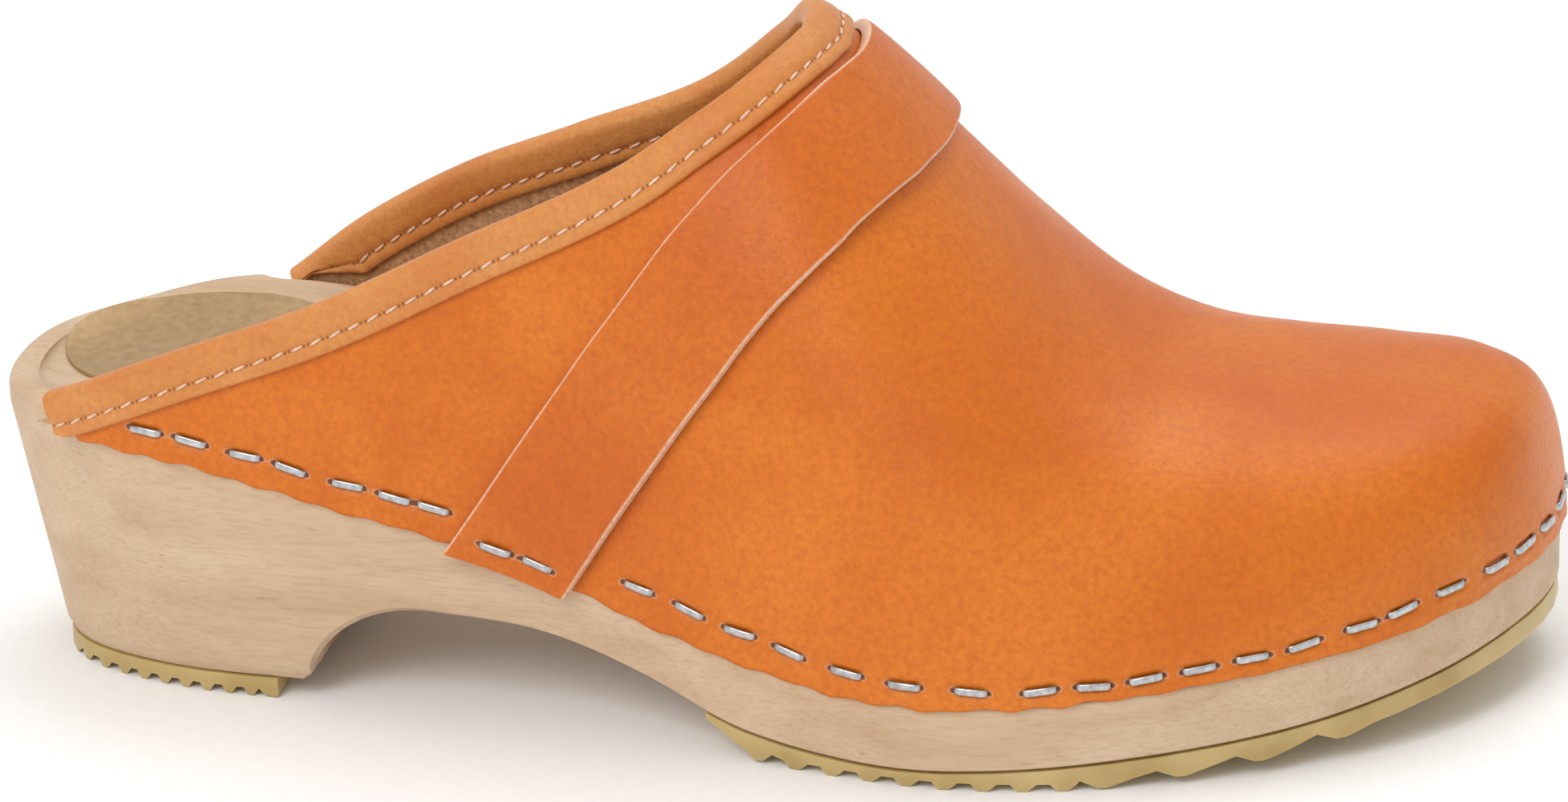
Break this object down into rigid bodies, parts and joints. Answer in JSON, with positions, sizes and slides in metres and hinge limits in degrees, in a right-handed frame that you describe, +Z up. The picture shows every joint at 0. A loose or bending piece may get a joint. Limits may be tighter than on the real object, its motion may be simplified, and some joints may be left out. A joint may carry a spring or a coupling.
{
  "type": "clog",
  "caption": "Backless clog for the right foot: wooden sole with a raised heel, leather upper stapled round its edge, folded topline binding, instep strap and ribbed rubber treads.",
  "frame": {"origin": "middle of the box round the clog, on the ground under the feet of the rubber ribs", "axes": "+X from the heel to the toe, +Y to the inner (medial) side of this right foot, +Z up"},
  "size_m": [0.2578, 0.1036, 0.1124],
  "materials": {
    "wood": "bare sanded alder, satin",
    "tread_rubber": "translucent olive-khaki rubber, smooth and slightly glossy",
    "label_leather": "matte gold-beige foil on thin leather",
    "toe_stiffener": "matte impregnated fabric",
    "upper_leather": "waxed vegetable-tanned leather, satin, fine grain",
    "binding_leather": "soft grained leather, satin",
    "strap_leather": "waxed vegetable-tanned leather, satin, raw cut edges",
    "staple_steel": "bright galvanised flat wire"
  },
  "bodies": {
    "root": {"forefoot_rubber": "tread_rubber", "heel_label": "label_leather", "heel_rubber": "tread_rubber", "instep_strap": "strap_leather", "leather_upper": "upper_leather", "staple_inner_01": "staple_steel", "staple_inner_02": "staple_steel", "staple_inner_03": "staple_steel", "staple_inner_04": "staple_steel", "staple_inner_05": "staple_steel", "staple_inner_06": "staple_steel", "staple_inner_07": "staple_steel", "staple_inner_08": "staple_steel", "staple_inner_09": "staple_steel", "staple_inner_10": "staple_steel", "staple_inner_11": "staple_steel", "staple_inner_12": "staple_steel", "staple_inner_13": "staple_steel", "staple_inner_14": "staple_steel", "staple_inner_15": "staple_steel", "staple_inner_16": "staple_steel", "staple_inner_17": "staple_steel", "staple_inner_18": "staple_steel", "staple_outer_01": "staple_steel", "staple_outer_02": "staple_steel", "staple_outer_03": "staple_steel", "staple_outer_04": "staple_steel", "staple_outer_05": "staple_steel", "staple_outer_06": "staple_steel", "staple_outer_07": "staple_steel", "staple_outer_08": "staple_steel", "staple_outer_09": "staple_steel", "staple_outer_10": "staple_steel", "staple_outer_11": "staple_steel", "staple_outer_12": "staple_steel", "staple_outer_13": "staple_steel", "staple_outer_14": "staple_steel", "staple_outer_15": "staple_steel", "staple_outer_16": "staple_steel", "staple_outer_17": "staple_steel", "staple_outer_18": "staple_steel", "staple_outer_19": "staple_steel", "staple_outer_20": "staple_steel", "staple_outer_21": "staple_steel", "staple_outer_22": "staple_steel", "staple_outer_23": "staple_steel", "staple_outer_24": "staple_steel", "staple_outer_25": "staple_steel", "staple_outer_26": "staple_steel", "staple_outer_27": "staple_steel", "strap_staple_inner_1": "staple_steel", "strap_staple_inner_2": "staple_steel", "strap_staple_outer_1": "staple_steel", "strap_staple_outer_2": "staple_steel", "toe_stiffener": "toe_stiffener", "topline_binding": "binding_leather", "wooden_sole": "wood"}
  },
  "joints": []
}
